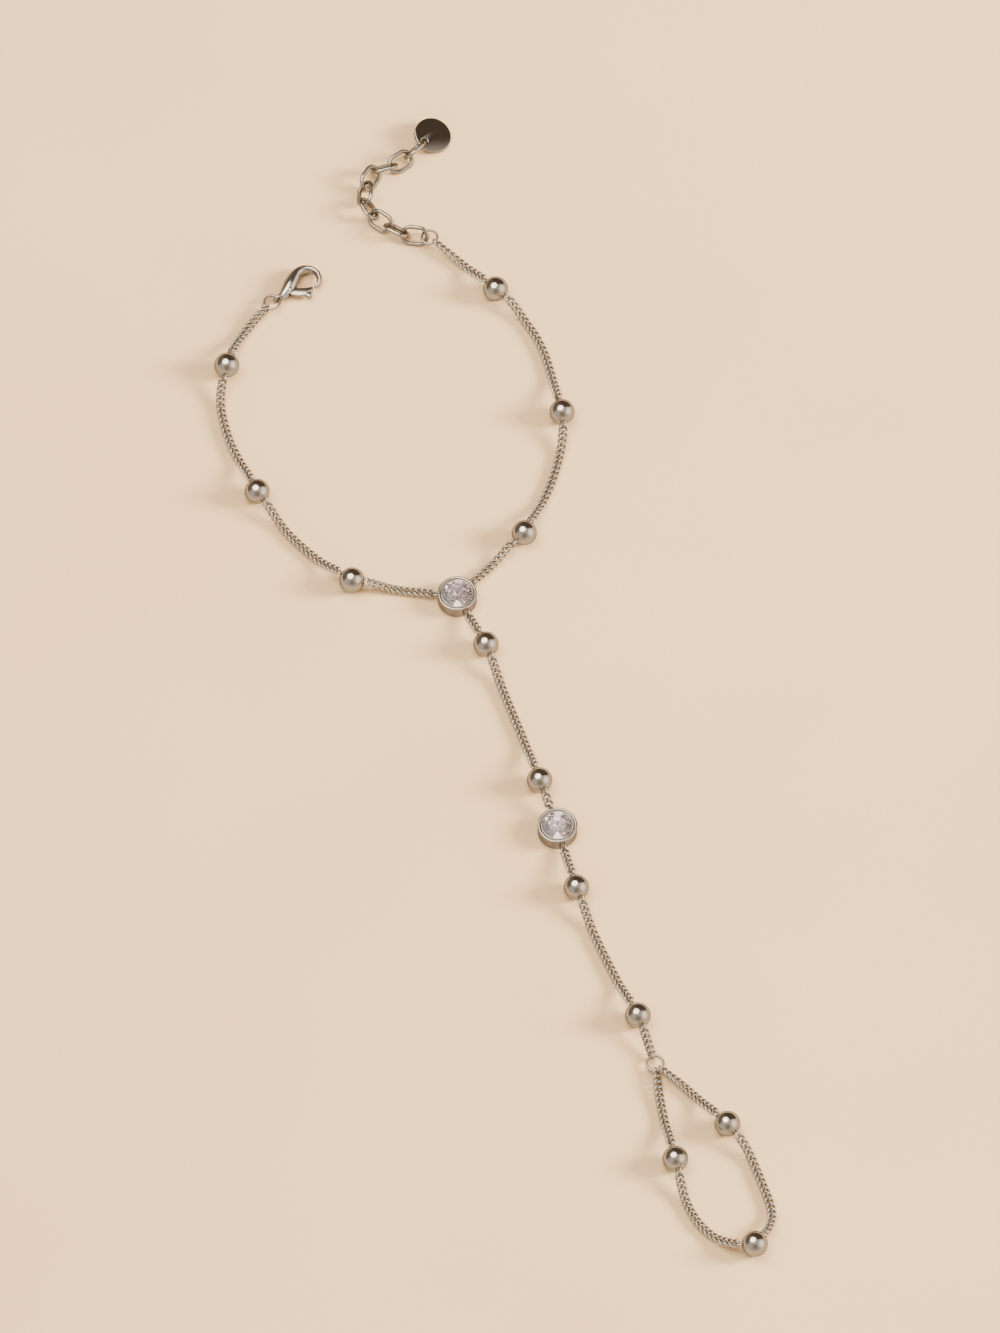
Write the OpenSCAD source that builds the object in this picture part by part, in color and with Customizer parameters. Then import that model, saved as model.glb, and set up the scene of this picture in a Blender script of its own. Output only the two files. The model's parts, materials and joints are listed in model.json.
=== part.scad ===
// Hand chain bracelet, lying open on a flat surface.
// +X is to the right and +Y towards the clasp, seen from above. The surface is z = 0.

/* [Fine chain] */
// Wire thickness of a fine link
fine_wire = 0.36; // [0.3:0.01:0.4]
// Overall length of a fine link
fine_length = 2.2; // [2:0.05:2.6]
// Play at each side of a wire inside the next fine link
fine_side_play = 0.19; // [0.16:0.01:0.22]
// Play between the wires of two links that meet end to end
link_play = 0.15; // [0.13:0.01:0.2]

/* [Beads] */
// Diameter of a polished bead
bead_d = 4; // [3.4:0.1:4.6]

/* [Settings] */
// Outer diameter of a round setting
setting_d = 6.2; // [5.9:0.1:6.8]
// Height of a setting
setting_h = 2.3; // [2.1:0.1:2.8]
// Thickness of a setting's rim
rim_t = 0.5; // [0.4:0.05:0.6]
// Thickness of the floor under a stone
setting_floor = 0.25; // [0.2:0.05:0.4]
// Height of the soldered eyes above the surface
setting_eye_z = 1; // [0.9:0.05:1.2]

/* [Stones] */
// Girdle diameter of a stone
stone_d = 5; // [4.6:0.1:5.2]
// Height of a stone's crown
crown_h = 0.62; // [0.5:0.02:0.8]
// Depth of a stone's pavilion
pavilion_h = 1.5; // [1.2:0.05:1.6]
// Thickness of a stone's girdle
girdle_h = 0.12; // [0.08:0.02:0.2]
// Share of the girdle that the table spans
table_share = 0.58; // [0.52:0.02:0.66]
// Gap between a stone and its setting
stone_gap = 0.05; // [0.03:0.01:0.08]
// Facets round a stone's crown
facets = 8; // [8:1:12]

/* [Clasp] */
// Length of the claw from its base to its far end
claw_length = 7.8; // [7.2:0.1:8.8]
// Width of the claw's hook
claw_width = 5.2; // [4.8:0.1:6]
// Thickness of the claw
claw_t = 2.2; // [2:0.1:2.6]
// Thickness of the lever
lever_t = 0.7; // [0.5:0.05:0.8]
// Gap at each side of the lever in its slot
lever_gap = 0.12; // [0.1:0.01:0.2]
// Diameter of the rivet that the lever turns on
rivet_d = 0.6; // [0.5:0.05:0.7]
// Radial clearance round the rivet
rivet_clearance = 0.05; // [0.03:0.01:0.08]
// Wire of the eye at the clasp's base
eye_wire = 0.5; // [0.4:0.02:0.56]
// Outer diameter of the eye at the clasp's base
eye_d = 2; // [1.9:0.05:2.2]

/* [Jump rings] */
// Wire of a jump ring
ring_wire = 0.4; // [0.34:0.02:0.44]
// Outer diameter of the rings at the clasp and at the extender
ring_d = 2.9; // [2.7:0.1:3.4]
// Outer diameter of the ring that joins the finger loop
finger_ring_d = 3; // [2.8:0.1:3.4]

/* [Extender] */
// Wire of an extender link
ext_wire = 0.6; // [0.5:0.02:0.7]
// Overall length of an extender link
ext_length = 4.6; // [4.4:0.1:5]
// Overall width of an extender link
ext_width = 3.3; // [3.1:0.1:3.6]
// Play between the wires of two extender links that meet end to end
ext_play = 0.3; // [0.25:0.05:0.5]

/* [Tag] */
// Diameter of the round tag
tag_d = 6; // [5.4:0.1:7]
// Thickness of the tag
tag_t = 0.6; // [0.5:0.05:0.8]
// Diameter of the hole in the tag
tag_hole_d = 1.2; // [1.1:0.05:1.4]
// Metal left between the hole and the tag's edge
tag_margin = 0.35; // [0.3:0.05:0.6]

/* [Hidden] */
$fn = 48;

// What a route does at one of its points: bend, hold a bead, or reach a setting or a ring.
BEND = 0;
BEAD = 1;
SETTING = 2;
CLASP_RING = 3;
EXTENDER_RING = 4;
FINGER_RING = 5;

// Places of the rings and settings.
clasp_ring_at = [-34.5, 67.5];
extender_ring_at = [-9.5, 79.5];
finger_ring_at = [25.5, -68];
setting_wrist_at = [-5, 14];
setting_hand_at = [10.6, -27.2];

// The chosen route of each strand as it lies: x, y and what is there.
ROUTES = [
    // from the clasp's ring round the left side to the wrist setting
    [[clasp_ring_at[0], clasp_ring_at[1], CLASP_RING], [-37.5, 64, BEND], [-40, 60, BEND],
     [-41.5, 55.5, BEAD], [-42.5, 49.5, BEND], [-41, 42.5, BEND], [-38.5, 37, BEND],
     [-36.5, 32.5, BEAD], [-31.5, 25.5, BEND], [-26.5, 20.5, BEND], [-21.5, 16.5, BEAD],
     [-14.5, 15.5, BEND], [setting_wrist_at[0], setting_wrist_at[1], SETTING]],
    // from the extender's ring round the right side to the wrist setting
    [[extender_ring_at[0], extender_ring_at[1], EXTENDER_RING], [-4, 74.5, BEND],
     [1, 69.5, BEAD], [4.5, 66, BEND], [8.5, 59, BEND], [11.5, 47, BEAD], [11.5, 42, BEND], [9.5, 34, BEND],
     [5.5, 25, BEAD], [1.5, 21, BEND], [setting_wrist_at[0], setting_wrist_at[1], SETTING]],
    // down the back of the hand, from one setting to the other
    [[setting_wrist_at[0], setting_wrist_at[1], SETTING], [-0.5, 5, BEAD], [2.5, -3.5, BEND],
     [5.4, -11.5, BEND], [7.85, -19.15, BEAD], [setting_hand_at[0], setting_hand_at[1], SETTING]],
    // from the hand setting to the ring of the finger loop
    [[setting_hand_at[0], setting_hand_at[1], SETTING], [13.5, -38, BEAD], [16, -45, BEND],
     [19, -52, BEND], [22.9, -60.3, BEAD], [finger_ring_at[0], finger_ring_at[1], FINGER_RING]],
    // the finger loop, from its ring down the left side and back up the right
    [[finger_ring_at[0], finger_ring_at[1], FINGER_RING], [26.5, -76, BEND],
     [28.5, -85, BEAD], [30, -91.5, BEND], [32.5, -96, BEND], [35.8, -98.7, BEND],
     [38.2, -99.5, BEND], [40.5, -99.5, BEAD], [42.4, -97.2, BEND], [43.2, -93.5, BEND],
     [41.7, -88.5, BEND], [39.5, -83, BEND], [36.5, -79, BEAD],
     [31, -73, BEND], [finger_ring_at[0], finger_ring_at[1], FINGER_RING]]
];
CHAIN_NAMES = ["chain_clasp_side", "chain_extender_side", "chain_hand_upper",
    "chain_hand_lower", "chain_finger_loop"];

// The extender's route from its ring to the tag.
EXTENDER_ROUTE = [extender_ring_at, [-13.5, 80], [-16, 81.5], [-19, 84],
    [-20, 88], [-18, 92], [-14.5, 93], [-12.5, 95], [-10.5, 97]];

// Points computed on each stretch of a route between two of its chosen points.
route_steps = 12;
// Links rest with their planes rolled this far to either side in turn.
rest_roll = 45;
// Number of links over which a chain turns upright as it comes to a ring.
turn_links = 3;
// Length over which a chain comes down from a bead or setting, and from a ring.
fall_length = 5.3;
ring_fall_length = 9;

fine_width = 3 * fine_wire + 2 * fine_side_play;
fine_pitch = fine_length - 2 * fine_wire - link_play;
fine_rest_z = (fine_width - fine_wire) / 2 * sin(rest_roll) + fine_wire / 2;
ext_pitch = ext_length - 2 * ext_wire - ext_play;
ext_rest_z = (ext_width - ext_wire) / 2 * sin(rest_roll) + ext_wire / 2;
setting_r = setting_d / 2;
bead_r = bead_d / 2;
stone_r = stone_d / 2;
clasp_z = max(claw_t, eye_d) / 2;

// Wire circle's radius and height of the rings, in the order of their codes.
RINGS = [
    [(ring_d - ring_wire) / 2, clasp_z],
    [(ring_d - ring_wire) / 2, ext_rest_z],
    [(finger_ring_d - ring_wire) / 2, (fine_width + link_play) / 2]
];
function is_ring(stop) = stop[2] >= CLASP_RING;
function ring_of(stop) = RINGS[stop[2] - CLASP_RING];

// Smooth curve through four points, from b at t = 0 to c at t = 1.
function through(a, b, c, d, t) =
    (2 * b + (c - a) * t + (2 * a - 5 * b + 4 * c - d) * t * t
     + (3 * b - a - 3 * c + d) * t * t * t) / 2;

// Row i of a table, continued in a straight line past both ends.
function row(table, i) =
    i < 0 ? 2 * table[0] - table[1]
    : i >= len(table) ? 2 * table[len(table) - 1] - table[len(table) - 2]
    : table[i];

// The table's rows joined by a smooth curve, with a number of steps between two rows.
function smooth(table, steps) = [
    for (i = [0 : len(table) - 2], k = [0 : steps - 1])
        through(row(table, i - 1), row(table, i), row(table, i + 1), row(table, i + 2), k / steps),
    table[len(table) - 1]
];

// Length along a list of points, at each of them.
function lengths(points) = [
    for (i = 0, s = 0; i < len(points);
         i = i + 1, s = s + (i < len(points) ? norm(points[i] - points[i - 1]) : 0)) s
];

// One lookup table for each coordinate, by the length along the points.
function by_length(points) =
    let (s = lengths(points))
    [for (axis = [0 : len(points[0]) - 1]) [for (i = [0 : len(points) - 1]) [s[i], points[i][axis]]]];
function point_at(tables, s) = [for (table = tables) lookup(s, table)];
function total(tables) = let (table = tables[0]) table[len(table) - 1][0];

function unit(v) = v / norm(v);

// Distance from a stop's centre to the eye that a chain starts from, and the eye's height.
function stop_reach(stop) =
    stop[2] == BEAD ? bead_r
    : stop[2] == SETTING ? setting_r
    : ring_of(stop)[0] - (fine_length - fine_wire) / 2 - (ring_wire - fine_wire) / 2;
function stop_z(stop) =
    stop[2] == BEAD ? bead_r : stop[2] == SETTING ? setting_eye_z : ring_of(stop)[1];
function fall(stop) = is_ring(stop) ? ring_fall_length : fall_length;

// How much of a stop's height is left at a share of the way down from it.
function height_left(share) =
    share <= 0 ? 1 : share >= 1 ? 0 : 1 - share * share * (3 - 2 * share);
function chain_z(s, whole, from, to) =
    fine_rest_z
    + (stop_z(from) - fine_rest_z) * height_left((s - stop_reach(from)) / fall(from))
    + (stop_z(to) - fine_rest_z) * height_left((whole - s - stop_reach(to)) / fall(to));

// Places in a route where a chain starts or ends.
function stops(route) = [for (i = [0 : len(route) - 1]) if (route[i][2] != BEND) i];

// One run of chain between stops a and b of a route:
// its curve, both ends, the spacing of its links, their number and the phase of their rolls.
function run_between(route, a, b) =
    let (piece = smooth([for (k = [a : b]) [route[k][0], route[k][1]]], route_steps),
         s = lengths(piece),
         whole = s[len(s) - 1],
         raised = [for (k = [0 : len(piece) - 1])
                   [piece[k][0], piece[k][1], chain_z(s[k], whole, route[a], route[b])]],
         tables = by_length(raised),
         free = total(tables) - stop_reach(route[a]) - stop_reach(route[b]),
         count = ceil(free / fine_pitch) - 1,
         phase = is_ring(route[b]) ? count % 2 : is_ring(route[a]) ? 1 : 0)
    [tables, route[a], route[b], free / (count + 1), count, phase];
function runs(route) =
    let (at = stops(route))
    [for (k = [0 : len(at) - 2]) run_between(route, at[k], at[k + 1])];

// Joint k of a run, where link k ends and link k + 1 starts.
function joint(run, k) = point_at(run[0], stop_reach(run[1]) + (k + 0.5) * run[3]);
// Roll of link k, which turns upright towards a ring.
function near(k) = max(0, 1 - k / turn_links);
function roll(run, k) =
    rest_roll + 90 * ((k + run[5]) % 2)
    + (is_ring(run[1]) ? (90 - rest_roll) * near(k - 1) : 0)
    + (is_ring(run[2]) ? (90 - rest_roll) * near(run[4] - k) : 0);

// Centre and direction of a run's first or last eye, which stands out of a bead or setting.
function stop_centre(stop) = [stop[0], stop[1], stop_z(stop)];
function eye_direction(run, last) =
    last ? unit(joint(run, run[4]) - stop_centre(run[2]))
    : unit(joint(run, 0) - stop_centre(run[1]));

ALL_RUNS = [for (route = ROUTES) runs(route)];

// Beads: the run that ends at each one and the run that leaves it, by strand and place.
function beads_on(strand, kind) = [
    for (k = [0 : len(ALL_RUNS[strand]) - 2]) [strand, k]
];
WRIST_BEADS = concat(beads_on(0), beads_on(1));
HAND_BEADS = concat(beads_on(2), beads_on(3));
FINGER_BEADS = beads_on(4);

EXTENDER = by_length(smooth(EXTENDER_ROUTE, route_steps));
// First link's distance from the ring's centre, less one pitch, and how far the last reaches past.
ext_start = (ring_d - ring_wire) / 2 - (ring_wire + ext_wire) / 2 - ext_play
    + (ext_length - ext_wire) / 2 - ext_pitch;
ext_past = ext_pitch - (ext_length - ext_wire) / 2;
ext_free = total(EXTENDER) - ext_start + ext_past;
ext_count = ceil(ext_free / ext_pitch) - 1;
ext_spacing = ext_free / (ext_count + 1);

// Roll of the tag about the line from the extender, so that it leans on one side.
tag_roll = 15;
// How far the last extender link leans over towards the tag's plane.
last_lean = 15;
function ext_joint(k) =
    let (p = point_at(EXTENDER, max(0, ext_start + (k + 0.5) * ext_spacing))) [p[0], p[1]];
function ext_roll(k) =
    rest_roll + 90 * ((k + ext_count + 1) % 2) - last_lean * near(ext_count - k);
function ext_z(k) = (ext_width - ext_wire) / 2 * abs(sin(ext_roll(k))) + ext_wire / 2;
function ext_centre(k) = let (p = (ext_joint(k - 1) + ext_joint(k)) / 2) [p[0], p[1], ext_z(k)];
function ext_direction(k) = let (d = unit(ext_joint(k) - ext_joint(k - 1))) [d[0], d[1], 0];

// The tag hangs on the last extender link's end and its far edge comes down to the surface.
tag_reach = tag_d / 2 - tag_margin - tag_hole_d / 2;
tag_hole_at = ext_centre(ext_count) + ext_direction(ext_count) * (ext_length - ext_wire) / 2;
function tag_low(pitch) =
    let (upright = cos(pitch) * cos(tag_roll))
    tag_hole_at[2] - tag_reach * sin(pitch) - tag_d / 2 * sqrt(1 - upright * upright)
    - tag_t / 2 * upright;
function settle(low, high, tries) =
    tries == 0 ? low
    : let (middle = (low + high) / 2)
      tag_low(middle) > 0 ? settle(middle, high, tries - 1) : settle(low, middle, tries - 1);
tag_pitch = settle(0, 40, 20);

// The clasp points away from its ring.
clasp_angle = 35;
eye_at = -0.55;
claw_sides = 16;
claw_steps = 3;
// Sections of the claw from its base round the hook to its tip. Columns: place along as a share
// of claw_length, place across and half width as shares of claw_width, half thickness as one of
// claw_t.
CLAW = [
    [0.028, 0.000, 0.123, 0.32],
    [0.160, 0.067, 0.183, 0.44],
    [0.301, 0.183, 0.215, 0.50],
    [0.449, 0.317, 0.196, 0.49],
    [0.590, 0.408, 0.158, 0.45],
    [0.731, 0.400, 0.131, 0.41],
    [0.853, 0.279, 0.108, 0.38],
    [0.913, 0.087, 0.092, 0.36],
    [0.885, -0.125, 0.084, 0.33],
    [0.800, -0.270, 0.072, 0.28],
    [0.712, -0.315, 0.054, 0.21]
];
// Shares of the last section's size as each end of the claw is rounded off.
END_TURNS = [35, 60, 80];
// Sections of the lever from its pivot to its tip: place along as a share of claw_length,
// place across and half width as shares of claw_width.
LEVER = [
    [0.224, 0.010, 0.100],
    [0.291, -0.097, 0.121],
    [0.364, -0.188, 0.127],
    [0.451, -0.257, 0.117],
    [0.540, -0.292, 0.085],
    [0.613, -0.308, 0.054]
];
lever_steps = 4;
lever_end_steps = 6;
pivot_at = [LEVER[0][0] * claw_length, LEVER[0][1] * claw_width];
// The thumb tab of the lever.
tab_at = [0.481 * claw_length, -0.442 * claw_width];
tab_r = 0.086 * claw_width;
tab_over = 0.25;
tab_neck = 0.2 * claw_width;
// The slot that the lever turns in.
slot_t = lever_t + 2 * lever_gap;
slot_r = LEVER[0][2] * claw_width + lever_gap;
slot_length = 0.35 * claw_length;
rivet_length = 0.84 * claw_t;

CLAW_CURVE = smooth([for (c = CLAW) [c[0] * claw_length, c[1] * claw_width, c[2] * claw_width,
    c[3] * claw_t]], claw_steps);
// Direction of the curve's first two columns at its point i.
function heading(curve, i) =
    let (d = row(curve, i + 1) - row(curve, i - 1)) unit([d[0], d[1]]);
// A claw section pushed on from point i by a turn of the rounded end, away from the curve.
function rounded_off(curve, i, turn, way) =
    let (d = heading(curve, i), push = way * curve[i][2] * sin(turn), left = cos(turn))
    [curve[i][0] + d[0] * push, curve[i][1] + d[1] * push, curve[i][2] * left, curve[i][3] * left,
     d[0], d[1]];
function claw_section(curve, i) = let (d = heading(curve, i)) concat(curve[i], d);
CLAW_SECTIONS = concat(
    [for (k = [len(END_TURNS) - 1 : -1 : 0]) rounded_off(CLAW_CURVE, 0, END_TURNS[k], -1)],
    [for (i = [0 : len(CLAW_CURVE) - 1]) claw_section(CLAW_CURVE, i)],
    [for (turn = END_TURNS) rounded_off(CLAW_CURVE, len(CLAW_CURVE) - 1, turn, 1)]);

// Skin between rings of points, as triangles, with both ends closed.
function skin(rings, sides) = concat(
    [[for (j = [0 : sides - 1]) j]],
    [for (i = [0 : rings - 2], j = [0 : sides - 1])
        let (a = i * sides + j, b = i * sides + (j + 1) % sides)
        each [[a, a + sides, b + sides], [a, b + sides, b]]],
    [[for (j = [sides - 1 : -1 : 0]) (rings - 1) * sides + j]]);

// Puts a shape that lies along +X at a point, along a direction, rolled about it.
module along(at, direction, roll = 0) {
    flat = norm([direction[0], direction[1]]);
    translate(at)
        rotate([0, 0, atan2(direction[1], direction[0])])
            rotate([0, -atan2(direction[2], flat), 0])
                rotate([roll, 0, 0])
                    children();
}

module oval_link(length, width, wire) {
    bend_r = (width - wire) / 2;
    straight = length - width;
    for (side = [0, 180])
        rotate([0, 0, side])
            translate([straight / 2, 0, 0])
                rotate([0, 0, -90])
                    rotate_extrude(angle = 180)
                        translate([bend_r, 0])
                            circle(d = wire);
    for (side = [-1, 1])
        translate([-straight / 2, side * bend_r, 0])
            rotate([0, 90, 0])
                cylinder(d = wire, h = straight);
}

module fine_link() {
    oval_link(fine_length, fine_width, fine_wire);
}

module chain(strand) {
    color("silver")
        for (run = ALL_RUNS[strand])
            for (k = [1 : run[4]])
                along((joint(run, k - 1) + joint(run, k)) / 2, joint(run, k) - joint(run, k - 1),
                    roll(run, k))
                    fine_link();
}

// The eye at a run's first or last stop, half sunk in the bead or setting there.
module run_eye(run, last = false) {
    stop = last ? run[2] : run[1];
    direction = eye_direction(run, last);
    along(stop_centre(stop) + direction * stop_reach(stop), direction,
        (last ? -1 : 1) * roll(run, last ? run[4] + 1 : 0))
        fine_link();
}

module bead(place) {
    before = ALL_RUNS[place[0]][place[1]];
    after = ALL_RUNS[place[0]][place[1] + 1];
    way = eye_direction(after);
    seam = atan2(way[1], way[0]) + 90;
    color("silver")
        union() {
            translate(stop_centre(before[2]))
                rotate([0, 0, seam])
                    sphere(d = bead_d);
            run_eye(before, true);
            run_eye(after);
        }
}

girdle_z = setting_floor + stone_gap + pavilion_h;
// The rim's lip reaches over the stone, and its underside follows the crown at the stone's gap.
lip = 0.3;
lip_bevel = 0.12;
lip_drop = 0.04;
culet_room = 0.4;
crown_slope = crown_h / (stone_r * (1 - table_share));
lip_r = setting_r - rim_t - lip;
lip_z = girdle_z + girdle_h + (stone_r - lip_r) * crown_slope + stone_gap;

module setting_cup() {
    rotate_extrude()
        difference() {
            union() {
                square([setting_r, setting_h - rim_t / 2]);
                translate([setting_r - rim_t / 2, setting_h - rim_t / 2])
                    circle(d = rim_t);
                polygon([[lip_r, lip_z], [setting_r - rim_t / 2, lip_z],
                    [setting_r - rim_t / 2, setting_h], [lip_r + lip_bevel, setting_h - lip_drop]]);
            }
            // the stone's own outline, larger by the gap all round
            polygon([[0, setting_floor], [culet_room, setting_floor],
                [stone_r + stone_gap, girdle_z - stone_gap],
                [stone_r + stone_gap, girdle_z + girdle_h + stone_gap],
                [stone_r * table_share, girdle_z + girdle_h + crown_h + stone_gap],
                [stone_r * table_share, setting_h + rim_t], [0, setting_h + rim_t]]);
        }
}

module setting(at, eyes) {
    color("silver")
        difference() {
            union() {
                translate([at[0], at[1], 0])
                    setting_cup();
                for (eye = eyes)
                    run_eye(eye[0], eye[1]);
            }
            // the eyes end inside the wall, clear of the stone
            translate([at[0], at[1], setting_floor])
                cylinder(r1 = culet_room, r2 = stone_r + stone_gap, h = pavilion_h);
        }
}

// Share of the girdle at which the pavilion's lower facets start.
low_share = 0.3;

// Round brilliant: table, crown kites, stars and girdle facets, and a pavilion of mains.
module stone(at) {
    table_r = stone_r * table_share;
    star_r = (table_r + stone_r) / 2;
    low_r = stone_r * low_share;
    step = 360 / facets;
    top = girdle_z + girdle_h + crown_h;
    crown_z = girdle_z + girdle_h;
    culet_z = girdle_z - pavilion_h;
    star_z = top - (star_r * cos(step / 2) - table_r) / (stone_r - table_r) * crown_h;
    low_z = culet_z + low_r * cos(step / 2) / stone_r * pavilion_h;
    points = concat(
        [for (k = [0 : facets - 1]) [table_r * cos(step * k), table_r * sin(step * k), top]],
        [for (k = [0 : facets - 1])
            [star_r * cos(step * (k + 0.5)), star_r * sin(step * (k + 0.5)), star_z]],
        [for (k = [0 : 2 * facets - 1])
            [stone_r * cos(step * k / 2), stone_r * sin(step * k / 2), crown_z]],
        [for (k = [0 : 2 * facets - 1])
            [stone_r * cos(step * k / 2), stone_r * sin(step * k / 2), girdle_z]],
        [for (k = [0 : facets - 1])
            [low_r * cos(step * (k + 0.5)), low_r * sin(step * (k + 0.5)), low_z]],
        [[0, 0, culet_z]]);
    star = facets;
    upper = 2 * facets;
    lower = 4 * facets;
    low = 6 * facets;
    faces = concat(
        [[for (k = [facets - 1 : -1 : 0]) k]],
        [for (k = [0 : facets - 1])
            let (next = (k + 1) % facets, mid = 2 * k + 1, after = (2 * k + 2) % (2 * facets))
            each [
                [k, next, star + k],
                [star + k, upper + mid, upper + 2 * k],
                [star + k, upper + after, upper + mid],
                [next, star + next, upper + after, star + k],
                [upper + 2 * k, upper + mid, lower + mid, lower + 2 * k],
                [upper + mid, upper + after, lower + after, lower + mid],
                [low + k, lower + 2 * k, lower + mid],
                [low + k, lower + mid, lower + after],
                [low + k, lower + after, low + next, 7 * facets]
            ]]);
    color("white")
        translate([at[0], at[1], 0])
            polyhedron(points, faces);
}

module ring(at, size) {
    color("silver")
        translate([at[0], at[1], size[1]])
            rotate_extrude()
                translate([size[0], 0])
                    circle(d = ring_wire);
}

module at_clasp() {
    turn = [cos(clasp_angle), sin(clasp_angle)];
    away = RINGS[0][0] - eye_at;
    translate([clasp_ring_at[0] + turn[0] * away, clasp_ring_at[1] + turn[1] * away, clasp_z])
        rotate([0, 0, clasp_angle])
            children();
}

module claw() {
    polyhedron(
        [for (s = CLAW_SECTIONS, j = [0 : claw_sides - 1])
            let (turn = 360 * j / claw_sides)
            [s[0] - s[5] * s[2] * cos(turn), s[1] + s[4] * s[2] * cos(turn), s[3] * sin(turn)]],
        skin(len(CLAW_SECTIONS), claw_sides));
}

module clasp_body() {
    color("silver")
        at_clasp()
            union() {
                difference() {
                    claw();
                    translate([pivot_at[0] - slot_r, pivot_at[1] + slot_r - claw_width, -slot_t / 2])
                        cube([slot_length, claw_width, slot_t]);
                }
                // rivet through both ears of the slot
                translate([pivot_at[0], pivot_at[1], -rivet_length / 2])
                    cylinder(d = rivet_d, h = rivet_length);
                // eye at the base, upright
                translate([eye_at, 0, 0])
                    rotate([90, 0, 0])
                        rotate_extrude()
                            translate([(eye_d - eye_wire) / 2, 0])
                                circle(d = eye_wire);
            }
}

LEVER_CURVE = smooth([for (c = LEVER) [c[0] * claw_length, c[1] * claw_width, c[2] * claw_width]],
    lever_steps);
function lever_side(side) = [
    for (i = [0 : len(LEVER_CURVE) - 1])
        let (d = heading(LEVER_CURVE, i), p = LEVER_CURVE[i])
        [p[0] - side * d[1] * p[2], p[1] + side * d[0] * p[2]]
];
function lever_end(i, way) =
    let (d = heading(LEVER_CURVE, i), p = LEVER_CURVE[i], start = atan2(d[1], d[0]) - 90 * way)
    [for (k = [1 : lever_end_steps - 1])
        let (turn = start + 180 * k / lever_end_steps)
        [p[0] + p[2] * cos(turn), p[1] + p[2] * sin(turn)]];

module lever_outline() {
    right = lever_side(-1);
    left = lever_side(1);
    last = len(LEVER_CURVE) - 1;
    polygon(concat(right, lever_end(last, 1), [for (i = [last : -1 : 0]) left[i]],
        lever_end(0, -1)));
}

module clasp_lever() {
    color("gainsboro")
        at_clasp()
            difference() {
                union() {
                    translate([0, 0, -lever_t / 2])
                        linear_extrude(lever_t)
                            lever_outline();
                    translate([tab_at[0], tab_at[1], -lever_t / 2 - tab_over])
                        cylinder(r = tab_r, h = lever_t + 2 * tab_over);
                    translate([tab_at[0] - tab_r, tab_at[1], -lever_t / 2])
                        cube([2 * tab_r, tab_neck, lever_t]);
                }
                translate([pivot_at[0], pivot_at[1], -lever_t])
                    cylinder(r = rivet_d / 2 + rivet_clearance, h = 2 * lever_t);
            }
}

module extender_link(k) {
    color("silver")
        along(ext_centre(k), ext_direction(k), ext_roll(k))
            oval_link(ext_length, ext_width, ext_wire);
}

module tag() {
    direction = ext_direction(ext_count);
    color("dimgray")
        translate(tag_hole_at)
            rotate([0, 0, atan2(direction[1], direction[0])])
                rotate([0, tag_pitch, 0])
                    rotate([tag_roll, 0, 0])
                        difference() {
                            translate([tag_reach, 0, -tag_t / 2])
                                cylinder(d = tag_d, h = tag_t);
                            translate([0, 0, -tag_t])
                                cylinder(d = tag_hole_d, h = 2 * tag_t);
                        }
}

function first_run(strand) = ALL_RUNS[strand][0];
function last_run(strand) = ALL_RUNS[strand][len(ALL_RUNS[strand]) - 1];

for (i = [0 : len(CHAIN_NAMES) - 1])
    chain(i);
for (i = [0 : len(WRIST_BEADS) - 1])
    bead(WRIST_BEADS[i]);
for (i = [0 : len(HAND_BEADS) - 1])
    bead(HAND_BEADS[i]);
for (i = [0 : len(FINGER_BEADS) - 1])
    bead(FINGER_BEADS[i]);
setting(setting_wrist_at, [[last_run(0), true], [last_run(1), true], [first_run(2), false]]);  // setting_wrist
setting(setting_hand_at, [[last_run(2), true], [first_run(3), false]]);  // setting_hand
stone(setting_wrist_at);  // stone_wrist
stone(setting_hand_at);  // stone_hand
clasp_body();
clasp_lever();
ring(clasp_ring_at, RINGS[0]);  // clasp_ring
ring(extender_ring_at, RINGS[1]);  // extender_ring
ring(finger_ring_at, RINGS[2]);  // finger_ring
for (k = [1 : ext_count])
    extender_link(k);
tag();
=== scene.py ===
# Looks for the hand chain bracelet, in metres, in the part's own frame.
# The dictionaries give lengths in mm and angles in degrees, unless a note says otherwise.
import json
import math
import bmesh
import bpy
import numpy as np
from mathutils import Matrix, Vector


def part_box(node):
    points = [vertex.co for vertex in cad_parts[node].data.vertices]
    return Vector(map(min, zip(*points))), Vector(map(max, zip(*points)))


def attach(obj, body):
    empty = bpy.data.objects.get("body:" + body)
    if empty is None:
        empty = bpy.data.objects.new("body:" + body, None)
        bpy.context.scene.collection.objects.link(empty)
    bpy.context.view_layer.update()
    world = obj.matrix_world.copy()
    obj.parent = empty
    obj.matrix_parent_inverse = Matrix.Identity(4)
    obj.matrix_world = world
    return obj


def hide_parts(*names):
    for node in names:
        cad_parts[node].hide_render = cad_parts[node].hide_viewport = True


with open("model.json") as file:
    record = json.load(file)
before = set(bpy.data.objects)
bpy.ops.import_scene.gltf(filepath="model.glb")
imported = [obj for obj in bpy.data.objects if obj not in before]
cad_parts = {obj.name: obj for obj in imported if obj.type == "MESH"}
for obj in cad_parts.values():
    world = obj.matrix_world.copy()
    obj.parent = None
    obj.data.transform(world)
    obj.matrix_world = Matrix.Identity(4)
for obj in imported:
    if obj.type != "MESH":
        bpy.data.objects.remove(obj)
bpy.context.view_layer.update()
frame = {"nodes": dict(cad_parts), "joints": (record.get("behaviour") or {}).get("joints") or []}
mm = 0.001
print("frame loaded:", len(frame["nodes"]), "nodes")


# Camera: a long lens high above the table, looking from the finger loop towards the clasp
view = {"target": (1.7, 2.1, 0.0), "elevation": 61, "distance": 2000, "lens": 345.7, "sensor": 36,
        "nearest": 50, "furthest": 20000}


def linked(name, data):
    made = bpy.data.objects.new(name, data)
    bpy.context.scene.collection.objects.link(made)
    return made


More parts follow.
